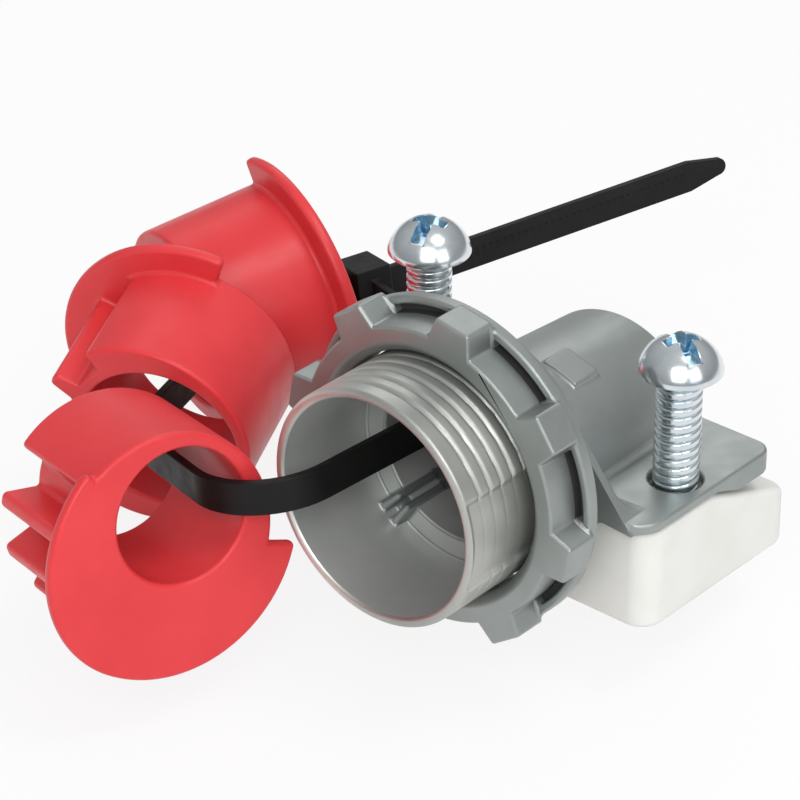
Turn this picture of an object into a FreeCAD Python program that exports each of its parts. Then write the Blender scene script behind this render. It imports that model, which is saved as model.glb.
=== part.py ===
import FreeCAD, Part
import math
import os
import Sketcher

Vector = FreeCAD.Vector
Placement = FreeCAD.Placement
Rotation = FreeCAD.Rotation

# Frame: the hub axis is X, the mouth of the hub is the plane x = 0 and faces -X,
# the clamp screws stand along +Z, the left ear is at +Y. Millimetres.

doc = FreeCAD.newDocument("clamp_cable_connector")
sheet = doc.addObject("Spreadsheet::Sheet", "dims")

# alias, value, what it is
DIMENSIONS = [
    ("fit_gap", 0.3, "clearance between pieces of different bodies"),
    ("hub_thread_radius", 16.7, "crest of the hub thread"),
    ("hub_rim_radius", 16.35, "front edge of the hub"),
    ("hub_bore_radius", 15.3, "inside of the hub"),
    ("hub_mouth_chamfer", 0.35, "chamfer inside the mouth"),
    ("hub_length", 22.8, "mouth to front wall"),
    ("hub_end_radius", 16.2, "hub behind the front wall"),
    ("end_stop_depth", 16.5, "mouth to end stop"),
    ("throat_radius", 12.0, "opening of the end stop"),
    ("throat_end_wall", 0.8, "wall between throat and front wall"),
    ("flat_relief", 0.6, "depth of the unthreaded sides"),
    ("flat_from_angle", 157.5, "upper end of the right unthreaded side"),
    ("flat_to_angle", 201.0, "lower end of the right unthreaded side"),
    ("wall_thickness", 1.4, "front wall"),
    ("wall_top_half_width", 14.2, "front wall at its upper corners"),
    ("wall_top_height", 7.2, "front wall upper corners above the axis"),
    ("wall_foot_inset", 2.0, "foot of the front wall inside the edge of the ears"),
    ("wall_foot_fillet", 3.5, "hollow between front wall and ears"),
    ("ear_top", -3.57, "upper face of the ears"),
    ("ear_thickness", 1.6, "ear plate"),
    ("ear_edge", 5.1, "screw axis to outer edge of the ear"),
    ("ear_length", 28.4, "front wall to rear edge of the ears"),
    ("ear_front_corner", 4.0, "corners of the ear plate at the front wall"),
    ("ear_rear_corner", 2.5, "rear corners of the ear plate"),
    ("ear_heel", 1.8, "thicker rear end of the ears, below the plate"),
    ("ear_heel_setback", 1.0, "start of the heel behind the start of the saddle's slope"),
    ("ear_lip", 2.0, "lip left round the hollow of the heel"),
    ("trough_axis_height", -6.9, "axis of the half-tunnel"),
    ("trough_front_radius", 15.5, "half-tunnel outside, front"),
    ("trough_rear_radius", 13.9, "half-tunnel outside, rear"),
    ("trough_wall", 2.2, "half-tunnel wall"),
    ("foot_bead_height", 0.8, "bead along the foot of the half-tunnel, above the ear"),
    ("foot_bead_setback", 2.5, "rear end of the bead before the rear edge of the ear"),
    ("pad_length", 5.0, "raised pad on the half-tunnel, along X"),
    ("pad_width", 5.8, "raised pad, round the half-tunnel"),
    ("pad_height", 0.5, "raised pad above the half-tunnel"),
    ("pad_setback", 12.1, "front wall to middle of the raised pad"),
    ("pad_angle", 17.0, "raised pad, degrees from the top"),
    ("knob_radius", 0.75, "casting knob on the front wall"),
    ("knob_height", 0.6, "casting knob on the front wall"),
    ("knob_side", 17.7, "casting knob, axis to knob sideways"),
    ("stop_rib_width", 1.0, "ribs across the end stop"),
    ("stop_rib_angle", 310.0, "place of the pair of ribs"),
    ("stop_rib_spread", 9.5, "degrees between the pair of ribs"),
    ("stop_rib_length", 2.2, "ribs in front of the end stop"),
    ("screw_setback", 13.4, "front wall to screw axes"),
    ("screw_radius", 3.1, "crest of the screw thread"),
    ("screw_hole_radius", 3.6, "clearance holes in ears and saddle"),
    ("screw_length", 31.7, "screw under the head"),
    ("screw_tip_chamfer", 0.8, "end of the screw"),
    ("head_radius", 5.7, "screw head"),
    ("head_height", 4.9, "screw head"),
    ("head_rim", 0.6, "edge of the screw head"),
    ("dome_bands", 4, "straight bands that make up the dome of the head"),
    ("slot_width", 1.9, "slot in the screw head"),
    ("slot_depth", 1.9, "slot in the screw head"),
    ("cross_span", 6.2, "cross recess tip to tip"),
    ("cross_depth", 2.6, "cross recess"),
    ("head_seat_right", 12.7, "underside of the right head"),
    ("head_seat_left", 15.3, "underside of the left head"),
    ("slot_turn_right", 62.0, "right screw: slot from +X towards +Y"),
    ("slot_turn_left", 16.0, "left screw: slot from +X towards +Y"),
    ("saddle_front_gap", 0.4, "front wall to front face of the saddle"),
    ("saddle_length", 31.9, "front face to rear face of the saddle"),
    ("saddle_inset", 0.4, "sides of the saddle inside the edge of the ears"),
    ("saddle_bottom", -20.5, "underside of the saddle"),
    ("saddle_corner_radius", 3.5, "upright corners of the saddle"),
    ("saddle_slope_length", 18.5, "rear part of the top that falls"),
    ("saddle_slope_fall", 7.2, "fall of the top to the rear face"),
    ("saddle_wall", 2.4, "walls of the saddle"),
    ("saddle_floor", 1.8, "thickness under the cable groove"),
    ("saddle_groove_radius", 13.2, "cable groove"),
    ("saddle_boss_radius", 6.0, "screw bosses"),
    ("nut_front", 10.5, "mouth to the front face of the nut"),
    ("nut_thickness", 6.8, "nut"),
    ("nut_bore_gap", 0.35, "nut bore over the hub thread"),
    ("nut_mouth_radius", 18.4, "front edge of the nut bore"),
    ("nut_mouth_depth", 1.5, "countersink of the nut bore"),
    ("nut_rim_radius", 23.2, "rear rim of the nut"),
    ("nut_rim_width", 1.2, "rear rim outside the arc slots"),
    ("nut_slot_width", 1.1, "arc slots between ring and rim"),
    ("nut_rim_thickness", 2.0, "rear rim of the nut"),
    ("nut_lug_radius", 23.9, "tips of the lugs"),
    ("nut_lug_length", 5.2, "lugs, along X"),
    ("nut_lug_tip_width", 5.4, "lug at its tip"),
    ("nut_lug_root_width", 7.2, "lug at its root"),
    ("nut_lug_count", 8, "lugs"),
    ("nut_lug_angle", 10.0, "first lug, from +Y towards +Z"),
    ("nut_slot_half_angle", 13.0, "half the arc of a slot"),
    ("sleeve_radius", 15.0, "bushings: circle through the rib tips"),
    ("sleeve_length", 19.0, "bushings: flange face to free end"),
    ("sleeve_wall", 1.9, "bushings: wall round the hole"),
    ("flange_radius", 19.0, "bushings: flange"),
    ("flange_thickness", 1.8, "bushings: flange"),
    ("flange_half_angle", 107.0, "bushings: half the arc of the flange"),
    ("rib_tip_width", 2.0, "bushings: ribs at the sleeve circle"),
    ("rib_root_width", 6.0, "bushings: ribs at the hole"),
    ("smooth_angle_small", 80.0, "small bushing: half the arc without ribs"),
    ("smooth_angle_medium", 123.0, "medium bushing: half the arc without ribs"),
    ("smooth_angle_large", 180.0, "large bushing: round all over"),
    ("rib_step_angle", 29.0, "bushings: rib to rib"),
    ("hole_radius_large", 12.4, "hole of the large bushing"),
    ("hole_radius_medium", 11.2, "hole of the medium bushing"),
    ("hole_radius_small", 9.3, "hole of the small bushing"),
    ("strap_width", 4.7, "tie strap"),
    ("strap_thickness", 1.3, "tie strap"),
    ("strap_height", 1.1, "strap plane above the hub axis at y = 0"),
    ("strap_fall_angle", 8.7, "degrees the strap plane falls towards +Y"),
    ("tie_head_length", 7.0, "tie head along the root of the strap"),
    ("tie_head_depth", 5.6, "tie head along the slot"),
    ("tie_head_width", 7.4, "tie head across the strap"),
    ("tail_length", 62.5, "tail of the tie behind its head"),
    ("tail_tip_length", 6.5, "tapered end of the tail"),
    ("tail_tip_radius", 1.3, "round end of the tail"),
    ("tail_drop", 0.6, "start of the tail below the middle of the head"),
    ("tail_lift_angle", 1.3, "degrees the tail rises to its end"),
]

# Points in space: the loose bushings by the middle of their flange faces, then the bends of
# the tie's strap from its head on. Bends without a height lie in the strap plane.
PLACES = [
    ("small_bushing", (-16.95, 19.35, -5.0)),
    ("medium_bushing", (21.4, 51.4, -5.2)),
    ("large_bushing", (46.2, 54.4, -4.7)),
    ("tie_head", (52.6, 47.3)),
    ("strap_root", (51.0, 42.0, -6.3)),
    ("strap_low", (61.0, 26.0, -14.6)),
    ("strap_rear", (60.0, 2.6, -0.6)),
    ("strap_tunnel", (40.0, 5.6)),
    ("strap_throat", (19.0, 8.4)),
    ("strap_front", (-12.0, 10.6)),
    ("strap_left", (-0.9, 41.6)),
    ("strap_return", (30.6, 53.1)),
]

rows = list(DIMENSIONS)
for name, numbers in PLACES:
    rows += [("%s_%s" % (name, axis), number, "place") for axis, number in zip("xyz", numbers)]
for row, (alias, value, note) in enumerate(rows, start=1):
    sheet.set("A%d" % row, alias)
    sheet.set("B%d" % row, str(value))
    sheet.set("C%d" % row, note)
    sheet.setAlias("B%d" % row, alias)
doc.recompute()


def size(alias):
    return float(sheet.get(alias))


def place_of(name):
    """a point of the table, put into the strap plane where it has no height"""
    numbers = dict(PLACES)[name]
    point = Vector(size(name + "_x"), size(name + "_y"), 0)
    if len(numbers) == 3:
        point.z = size(name + "_z")
    else:
        point.z = size("strap_height") - point.y * math.tan(math.radians(size("strap_fall_angle")))
    return point


def new_body(name):
    body = doc.addObject("PartDesign::Body", name)
    body.Label = name
    return body


def origin_feature(body, role):
    for feature in body.Origin.OriginFeatures:
        if feature.Role == role:
            return feature
    raise ValueError(role)


def new_sketch(body, name, plane, offset=None):
    sketch = body.newObject("Sketcher::SketchObject", name)
    sketch.AttachmentSupport = [(origin_feature(body, plane), "")]
    sketch.MapMode = "FlatFace"
    if offset is not None:
        sketch.AttachmentOffset = offset
    return sketch


def lift(distance):
    return Placement(Vector(0, 0, distance), Rotation())


def draw_polygon(sketch, points):
    first = sketch.GeometryCount
    count = len(points)
    for index in range(count):
        start = Vector(points[index][0], points[index][1], 0)
        end = Vector(points[(index + 1) % count][0], points[(index + 1) % count][1], 0)
        sketch.addGeometry(Part.LineSegment(start, end), False)
    for index in range(count):
        following = first + (index + 1) % count
        sketch.addConstraint(Sketcher.Constraint("Coincident", first + index, 2, following, 1))


def draw_circle(sketch, x, y, alias):
    index = sketch.addGeometry(Part.Circle(Vector(x, y, 0), Vector(0, 0, 1), size(alias)), False)
    constraint = sketch.addConstraint(Sketcher.Constraint("Radius", index, size(alias)))
    sketch.setExpression("Constraints[%d]" % constraint, "dims." + alias)
    return index


def draw_arc(sketch, x, y, radius, from_degrees, to_degrees):
    circle = Part.Circle(Vector(x, y, 0), Vector(0, 0, 1), radius)
    arc = Part.ArcOfCircle(circle, math.radians(from_degrees), math.radians(to_degrees))
    sketch.addGeometry(arc, False)


def draw_line(sketch, start, end):
    sketch.addGeometry(Part.LineSegment(Vector(start[0], start[1], 0), Vector(end[0], end[1], 0)), False)


def polar(radius, degrees):
    angle = math.radians(degrees)
    return radius * math.cos(angle), radius * math.sin(angle)


def draw_plate(sketch, x0, x1, half_width, front_radius, rear_radius):
    """a plate from x0 to x1 with rounded corners, square where the radius is 0"""
    corners = [
        (x1, -half_width, rear_radius, 270), (x1, half_width, rear_radius, 0),
        (x0, half_width, front_radius, 90), (x0, -half_width, front_radius, 180),
    ]
    ends = []
    for x, y, radius, turn in corners:
        centre_x = x - math.copysign(radius, x - x0 - 1e-9)
        centre_y = y - math.copysign(radius, y)
        if radius > 0:
            draw_arc(sketch, centre_x, centre_y, radius, turn, turn + 90)
        reach = [polar(radius, turn), polar(radius, turn + 90)]
        ends.append([(centre_x + dx, centre_y + dy) for dx, dy in reach])
    for index in range(4):
        draw_line(sketch, ends[index][1], ends[(index + 1) % 4][0])


def draw_ring_sector(sketch, inner, outer, from_degrees, to_degrees):
    draw_arc(sketch, 0, 0, outer, from_degrees, to_degrees)
    draw_line(sketch, polar(outer, to_degrees), polar(inner, to_degrees))
    draw_arc(sketch, 0, 0, inner, from_degrees, to_degrees)
    draw_line(sketch, polar(inner, from_degrees), polar(outer, from_degrees))


def pad(body, name, sketch, length, both_ways=False):
    feature = body.newObject("PartDesign::Pad", name)
    feature.Profile = sketch
    feature.Midplane = both_ways
    set_length(feature, "Length", length)
    body.Tip = feature
    return feature


def pocket(body, name, sketch, length, reverse=False, both_ways=False):
    feature = body.newObject("PartDesign::Pocket", name)
    feature.Profile = sketch
    feature.Midplane = both_ways
    feature.Reversed = reverse
    set_length(feature, "Length", length)
    body.Tip = feature
    return feature


def set_length(feature, prop, length):
    if isinstance(length, str):
        feature.setExpression(prop, length)
    else:
        setattr(feature, prop, length)


def revolve(body, name, sketch, axis, angle=360.0, cut=False, both_ways=False):
    kind = "PartDesign::Groove" if cut else "PartDesign::Revolution"
    feature = body.newObject(kind, name)
    feature.Profile = sketch
    feature.ReferenceAxis = (sketch, [axis])
    feature.Angle = angle
    feature.Midplane = both_ways
    body.Tip = feature
    return feature


def polar_pattern(body, name, original, axis_role, count_alias):
    pattern = body.newObject("PartDesign::PolarPattern", name)
    pattern.Originals = [original]
    pattern.Axis = (origin_feature(body, axis_role), [""])
    pattern.Angle = 360.0
    pattern.setExpression("Occurrences", "dims." + count_alias)
    body.Tip = pattern
    return pattern


# Connector body: hub, front wall, ears and half-tunnel cast in one piece.

connector = new_body("connector_body")
ear_bottom = size("ear_top") - size("ear_thickness")
wall_rear = size("hub_length") + size("wall_thickness")
throat_end = size("hub_length") - size("throat_end_wall")
ear_rear = size("hub_length") + size("ear_length")
past_ear = ear_rear + size("ear_length") / 3
screw_place = size("hub_length") + size("screw_setback")
screw_half_spacing = size("trough_front_radius") + size("head_radius")
ear_half_width = screw_half_spacing + size("ear_edge")
wall_foot_half_width = ear_half_width - size("wall_foot_inset")
saddle_front = wall_rear + size("saddle_front_gap")
saddle_rear = saddle_front + size("saddle_length")
saddle_slope_start = saddle_rear - size("saddle_slope_length")

hub_profile = new_sketch(connector, "hub_profile", "XZ_Plane")
rim_step = size("hub_thread_radius") - size("hub_rim_radius")
draw_polygon(hub_profile, [
    (0.0, size("hub_bore_radius") + size("hub_mouth_chamfer")),
    (0.0, size("hub_rim_radius")),
    (rim_step, size("hub_thread_radius")),
    (size("hub_length"), size("hub_thread_radius")),
    (wall_rear, size("hub_end_radius")),
    (wall_rear, 0.0),
    (throat_end, 0.0),
    (throat_end, size("throat_radius")),
    (size("end_stop_depth"), size("throat_radius")),
    (size("end_stop_depth"), size("hub_bore_radius")),
    (size("hub_mouth_chamfer"), size("hub_bore_radius")),
])
revolve(connector, "hub", hub_profile, "H_Axis")

wall_sketch = new_sketch(connector, "front_wall_outline", "YZ_Plane", lift(size("hub_length")))
draw_polygon(wall_sketch, [
    (-wall_foot_half_width, ear_bottom),
    (wall_foot_half_width, ear_bottom),
    (size("wall_top_half_width"), size("wall_top_height")),
    (-size("wall_top_half_width"), size("wall_top_height")),
])
pad(connector, "front_wall", wall_sketch, "dims.wall_thickness")

ear_sketch = new_sketch(connector, "ear_outline", "XY_Plane", lift(ear_bottom))
draw_plate(
    ear_sketch, size("hub_length"), ear_rear, ear_half_width,
    size("ear_front_corner"), size("ear_rear_corner"))
pad(connector, "ears", ear_sketch, "dims.ear_thickness")

trough_axis = Placement(Vector(0, size("trough_axis_height"), 0), Rotation())
trough_sketch = new_sketch(connector, "trough_profile", "XZ_Plane", trough_axis)
draw_polygon(trough_sketch, [
    (size("hub_length"), 0.0),
    (size("hub_length"), size("trough_front_radius")),
    (ear_rear, size("trough_rear_radius")),
    (ear_rear, 0.0),
])
trough = revolve(connector, "trough", trough_sketch, "H_Axis", 180.0, both_ways=True)

doc.recompute()
foot_edges = []
for index, edge in enumerate(trough.Shape.Edges, start=1):
    ends = [vertex.Point for vertex in edge.Vertexes]
    at_foot = all(abs(p.x - wall_rear) < 0.01 and abs(p.z - size("ear_top")) < 0.01 for p in ends)
    if at_foot and isinstance(edge.Curve, Part.Line):
        foot_edges.append("Edge%d" % index)
foot_fillet = connector.newObject("PartDesign::Fillet", "wall_foot_fillet")
foot_fillet.Base = (trough, foot_edges)
foot_fillet.setExpression("Radius", "dims.wall_foot_fillet")
connector.Tip = foot_fillet

bead_sketch = new_sketch(connector, "foot_bead_outline", "XY_Plane", lift(ear_bottom))
bead_front = wall_rear + size("wall_foot_fillet")
bead_rear = ear_rear - size("foot_bead_setback")
for side in (-1, 1):
    inner_y = side * (size("trough_rear_radius") - size("trough_wall"))
    outer_y = side * (size("trough_front_radius") - size("fit_gap"))
    draw_polygon(bead_sketch, [
        (bead_front, inner_y), (bead_rear, inner_y), (bead_rear, outer_y), (bead_front, outer_y),
    ])
pad(connector, "foot_beads", bead_sketch, "dims.ear_thickness + dims.foot_bead_height")

pad_tilt = Rotation(Vector(1, 0, 0), size("pad_angle"))
pad_centre = size("hub_length") + size("pad_setback")
pad_share = size("pad_setback") / size("ear_length")
pad_surface = size("trough_front_radius")
pad_surface += pad_share * (size("trough_rear_radius") - size("trough_front_radius"))
pad_root = pad_surface - size("trough_wall")
pad_reach = pad_root * math.sin(math.radians(size("pad_angle")))
pad_rise = size("trough_axis_height") + pad_root * math.cos(math.radians(size("pad_angle")))
pad_place = Placement(Vector(pad_centre, -pad_reach, pad_rise), pad_tilt)
pad_sketch = new_sketch(connector, "raised_pad_outline", "XY_Plane", pad_place)
draw_polygon(pad_sketch, [
    (-size("pad_length") / 2, -size("pad_width") / 2),
    (size("pad_length") / 2, -size("pad_width") / 2),
    (size("pad_length") / 2, size("pad_width") / 2),
    (-size("pad_length") / 2, size("pad_width") / 2),
])
pad(connector, "raised_pad", pad_sketch, "dims.trough_wall + dims.pad_height")

knob_sketch = new_sketch(connector, "wall_knob_outline", "YZ_Plane", lift(size("hub_length")))
draw_circle(knob_sketch, -size("knob_side"), ear_bottom + size("knob_radius"), "knob_radius")
wall_knob = pad(connector, "wall_knob", knob_sketch, "dims.knob_height")
wall_knob.Reversed = True

below_sketch = new_sketch(connector, "below_ears", "XY_Plane", lift(ear_bottom))
draw_polygon(below_sketch, [
    (wall_rear, -2 * ear_half_width), (past_ear, -2 * ear_half_width),
    (past_ear, 2 * ear_half_width), (wall_rear, 2 * ear_half_width),
])
pocket(connector, "open_underside", below_sketch, "2 * dims.trough_front_radius")

# the rear ends of the ears are thicker, run along the saddle's slope and are hollow
heel_start = saddle_slope_start + size("ear_heel_setback")
heel_bottom = ear_bottom - size("ear_heel")
heel_run = size("ear_heel") * size("saddle_slope_length") / size("saddle_slope_fall")
heel_sketch = new_sketch(connector, "heel_outline", "XY_Plane", lift(heel_bottom))
draw_plate(heel_sketch, heel_start, ear_rear, ear_half_width, 0.0, size("ear_rear_corner"))
pad(connector, "heel", heel_sketch, "dims.ear_heel")

heel_slope_sketch = new_sketch(connector, "heel_slope", "XZ_Plane")
draw_polygon(heel_slope_sketch, [
    (heel_start, ear_bottom),
    (heel_start + heel_run, heel_bottom),
    (heel_start, heel_bottom),
])
pocket(connector, "heel_slope_cut", heel_slope_sketch, 4 * ear_half_width, both_ways=True)

heel_hollow_sketch = new_sketch(connector, "heel_hollow", "XY_Plane", lift(heel_bottom))
for side in (-1, 1):
    inner_y = side * (size("trough_rear_radius") + size("ear_lip"))
    outer_y = side * (ear_half_width - size("ear_lip"))
    draw_polygon(heel_hollow_sketch, [
        (heel_start, inner_y), (ear_rear - size("ear_lip"), inner_y),
        (ear_rear - size("ear_lip"), outer_y), (heel_start, outer_y),
    ])
pocket(connector, "heel_hollow_cut", heel_hollow_sketch, "dims.ear_heel", True)

cable_front = size("trough_front_radius") - size("trough_wall")
cable_rear = size("trough_rear_radius") - size("trough_wall")
cable_past = cable_rear + (cable_rear - cable_front) * (past_ear - ear_rear) / size("ear_length")
passage_sketch = new_sketch(connector, "cable_passage_profile", "XZ_Plane", trough_axis)
draw_polygon(passage_sketch, [
    (wall_rear, 0.0),
    (wall_rear, cable_front),
    (past_ear, cable_past),
    (past_ear, 0.0),
])
revolve(connector, "cable_passage", passage_sketch, "H_Axis", cut=True)

# the end wall opens where the throat circle and the half-tunnel overlap
drop = -size("trough_axis_height")
lens_height = (cable_front ** 2 - size("throat_radius") ** 2 - drop ** 2) / (2 * drop)
lens_half = math.sqrt(size("throat_radius") ** 2 - lens_height ** 2)
lens_low = math.degrees(math.atan2(lens_height, lens_half))
lens_high = math.degrees(math.atan2(lens_height + drop, lens_half))
opening_sketch = new_sketch(connector, "end_wall_opening", "YZ_Plane", lift(throat_end))
draw_arc(opening_sketch, 0, -drop, cable_front, lens_high, 180 - lens_high)
draw_arc(opening_sketch, 0, 0, size("throat_radius"), 180 - lens_low, 360 + lens_low)
pocket(connector, "end_wall_cut", opening_sketch, "dims.throat_end_wall + dims.wall_thickness", True)

flat_sketch = new_sketch(connector, "unthreaded_sides", "YZ_Plane")
flat_bottom = size("hub_thread_radius") - size("flat_relief")
flat_outside = size("hub_thread_radius") + size("flat_relief")
draw_ring_sector(flat_sketch, flat_bottom, flat_outside, size("flat_from_angle"), size("flat_to_angle"))
draw_ring_sector(
    flat_sketch, flat_bottom, flat_outside,
    180 - size("flat_to_angle"), 180 - size("flat_from_angle"))
pocket(connector, "unthreaded_side_cut", flat_sketch, "dims.hub_length", True)

rib_sketch = new_sketch(connector, "stop_rib_outline", "YZ_Plane", lift(throat_end))
for sign in (-1, 1):
    middle = size("stop_rib_angle") + sign * size("stop_rib_spread") / 2
    half = math.degrees(size("stop_rib_width") / 2 / size("throat_radius"))
    rib_inner = size("throat_radius") - size("stop_rib_width")
    rib_outer = size("hub_bore_radius") + size("hub_mouth_chamfer")
    draw_ring_sector(rib_sketch, rib_inner, rib_outer, middle - half, middle + half)
rib_depth = "dims.hub_length - dims.throat_end_wall - dims.end_stop_depth + dims.stop_rib_length"
stop_ribs = pad(connector, "stop_ribs", rib_sketch, rib_depth)
stop_ribs.Reversed = True

ear_hole_sketch = new_sketch(connector, "ear_holes", "XY_Plane", lift(size("ear_top")))
for side in (-1, 1):
    draw_circle(ear_hole_sketch, screw_place, side * screw_half_spacing, "screw_hole_radius")
pocket(connector, "ear_hole_cut", ear_hole_sketch, "2 * dims.ear_thickness")

# Locknut: ring with a countersunk bore, a rear rim, lugs and arc slots between them.

locknut = new_body("locknut")
nut_rear = size("nut_front") + size("nut_thickness")
nut_bore = size("hub_thread_radius") + size("nut_bore_gap")
slot_radius = size("nut_rim_radius") - size("nut_rim_width")
ring_radius = slot_radius - size("nut_slot_width")
nut_profile = new_sketch(locknut, "nut_profile", "XZ_Plane")
draw_polygon(nut_profile, [
    (size("nut_front"), size("nut_mouth_radius")),
    (size("nut_front"), ring_radius),
    (nut_rear - size("nut_rim_thickness"), ring_radius),
    (nut_rear - size("nut_rim_thickness"), size("nut_rim_radius")),
    (nut_rear, size("nut_rim_radius")),
    (nut_rear, nut_bore),
    (size("nut_front") + size("nut_mouth_depth"), nut_bore),
])
revolve(locknut, "nut_ring", nut_profile, "H_Axis")

lug_turn = Placement(Vector(0, 0, size("nut_front")), Rotation(Vector(0, 0, 1), size("nut_lug_angle")))
lug_sketch = new_sketch(locknut, "lug_outline", "YZ_Plane", lug_turn)
lug_root = (size("nut_mouth_radius") + ring_radius) / 2
draw_polygon(lug_sketch, [
    (lug_root, -size("nut_lug_root_width") / 2),
    (size("nut_lug_radius"), -size("nut_lug_tip_width") / 2),
    (size("nut_lug_radius"), size("nut_lug_tip_width") / 2),
    (lug_root, size("nut_lug_root_width") / 2),
])
lug = pad(locknut, "lug", lug_sketch, "dims.nut_lug_length")
polar_pattern(locknut, "lugs", lug, "X_Axis", "nut_lug_count")

slot_middle = size("nut_lug_angle") + 180.0 / size("nut_lug_count")
slot_turn = Placement(Vector(0, 0, nut_rear), Rotation(Vector(0, 0, 1), slot_middle))
slot_sketch = new_sketch(locknut, "arc_slot_outline", "YZ_Plane", slot_turn)
draw_ring_sector(
    slot_sketch, ring_radius, slot_radius,
    -size("nut_slot_half_angle"), size("nut_slot_half_angle"))
arc_slot = pocket(locknut, "arc_slot", slot_sketch, "2 * dims.nut_rim_thickness")
polar_pattern(locknut, "arc_slots", arc_slot, "X_Axis", "nut_lug_count")

# Saddle: hollow block under the ears with a cable groove and two screw bosses.

saddle = new_body("saddle")
saddle_top = ear_bottom - size("fit_gap")
saddle_half_width = ear_half_width - size("saddle_inset")
block_sketch = new_sketch(saddle, "saddle_outline", "XY_Plane", lift(size("saddle_bottom")))
draw_plate(
    block_sketch, saddle_front, saddle_rear, saddle_half_width,
    size("saddle_corner_radius"), size("saddle_corner_radius"))
pad(saddle, "saddle_block", block_sketch,
    "dims.ear_top - dims.ear_thickness - dims.fit_gap - dims.saddle_bottom")

slope_sketch = new_sketch(saddle, "rear_slope", "XZ_Plane")
saddle_rear_top = saddle_top - size("saddle_slope_fall")
past_saddle = saddle_rear + size("saddle_wall")
above_saddle = saddle_top + size("saddle_wall")
draw_polygon(slope_sketch, [
    (saddle_slope_start, saddle_top),
    (saddle_rear, saddle_rear_top),
    (past_saddle, saddle_rear_top),
    (past_saddle, above_saddle),
    (saddle_slope_start, above_saddle),
])
pocket(saddle, "rear_slope_cut", slope_sketch, 4 * saddle_half_width, both_ways=True)

groove_sketch = new_sketch(saddle, "cable_groove", "YZ_Plane", lift(saddle_front - size("saddle_wall")))
draw_circle(groove_sketch, 0, 0, "saddle_groove_radius")
pocket(saddle, "cable_groove_cut", groove_sketch, "2 * dims.saddle_length", True)

hollow_sketch = new_sketch(saddle, "underside_hollow", "XY_Plane", lift(size("saddle_bottom")))
draw_plate(
    hollow_sketch,
    saddle_front + size("saddle_wall"), saddle_rear - size("saddle_wall"),
    saddle_half_width - size("saddle_wall"),
    size("saddle_corner_radius") / 2, size("saddle_corner_radius") / 2)
pocket(saddle, "underside_hollow_cut", hollow_sketch,
       "-dims.saddle_groove_radius - dims.saddle_floor - dims.saddle_bottom", True)

boss_sketch = new_sketch(saddle, "boss_outline", "XY_Plane", lift(size("saddle_bottom")))
for side in (-1, 1):
    draw_circle(boss_sketch, screw_place, side * screw_half_spacing, "saddle_boss_radius")
saddle_bosses = pad(saddle, "bosses", boss_sketch,
                    "-dims.saddle_groove_radius - dims.saddle_floor - dims.saddle_bottom")
boss_trim_sketch = new_sketch(saddle, "boss_trim", "XY_Plane", lift(size("saddle_bottom") - size("saddle_wall")))
for side in (-1, 1):
    near = side * saddle_half_width
    far = side * (saddle_half_width + size("saddle_boss_radius"))
    draw_polygon(boss_trim_sketch, [
        (saddle_front, near), (saddle_rear, near), (saddle_rear, far), (saddle_front, far),
    ])
pocket(saddle, "boss_trim_cut", boss_trim_sketch, "2 * dims.saddle_corner_radius - dims.saddle_bottom", True)

saddle_hole_sketch = new_sketch(saddle, "saddle_holes", "XY_Plane", lift(saddle_top))
for side in (-1, 1):
    draw_circle(saddle_hole_sketch, screw_place, side * screw_half_spacing, "screw_hole_radius")
pocket(saddle, "saddle_hole_cut", saddle_hole_sketch, "-2 * dims.saddle_bottom")


# Clamp screws: round head with a slot and a cross recess, plain shank at the thread crest.

def build_screw(name, side, seat_alias, turn_alias):
    body = new_body(name)
    profile = new_sketch(body, name + "_profile", "XZ_Plane")
    length = size("screw_length")
    radius = size("screw_radius")
    chamfer = size("screw_tip_chamfer")
    head_radius = size("head_radius")
    rim = size("head_rim")
    height = size("head_height")
    dome_height = height - rim
    dome_radius = (head_radius ** 2 + dome_height ** 2) / (2 * dome_height)
    dome_centre = height - dome_radius
    dome_from = math.degrees(math.atan2(rim - dome_centre, head_radius))
    corners = [
        (0.0, height), (0.0, -length), (radius - chamfer, -length), (radius, -length + chamfer),
        (radius, 0.0), (head_radius, 0.0), (head_radius, rim),
    ]
    bands = int(size("dome_bands"))
    for band in range(1, bands):
        out, up = polar(dome_radius, dome_from + (90 - dome_from) * band / bands)
        corners.append((out, dome_centre + up))
    draw_polygon(profile, corners)
    revolve(body, name + "_solid", profile, "V_Axis")

    slot = new_sketch(body, name + "_slot", "XY_Plane", lift(height))
    draw_polygon(slot, [
        (-2 * head_radius, -size("slot_width") / 2),
        (2 * head_radius, -size("slot_width") / 2),
        (2 * head_radius, size("slot_width") / 2),
        (-2 * head_radius, size("slot_width") / 2),
    ])
    pocket(body, name + "_slot_cut", slot, "dims.slot_depth")

    cross = new_sketch(body, name + "_cross", "XY_Plane", lift(height))
    half_span = size("cross_span") / 2
    half_width = size("slot_width") / 2
    draw_polygon(cross, [
        (-half_span, -half_width), (-half_width, -half_width), (-half_width, -half_span),
        (half_width, -half_span), (half_width, -half_width), (half_span, -half_width),
        (half_span, half_width), (half_width, half_width), (half_width, half_span),
        (-half_width, half_span), (-half_width, half_width), (-half_span, half_width),
    ])
    pocket(body, name + "_cross_cut", cross, "dims.cross_depth")
    place = Vector(screw_place, side * screw_half_spacing, size(seat_alias))
    body.Placement = Placement(place, Rotation(Vector(0, 0, 1), size(turn_alias)))
    return body


clamp_screw_right = build_screw("clamp_screw_right", -1, "head_seat_right", "slot_turn_right")
clamp_screw_left = build_screw("clamp_screw_left", 1, "head_seat_left", "slot_turn_left")


# Bushings: the hole sits off the middle of the sleeve. The thin side is round, the thick
# side is lightened to ribs that end on the sleeve circle, and the flange runs round the thick
# side only. Local frame: flange face z = 0, sleeve along +Z, thin side +X.

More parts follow.
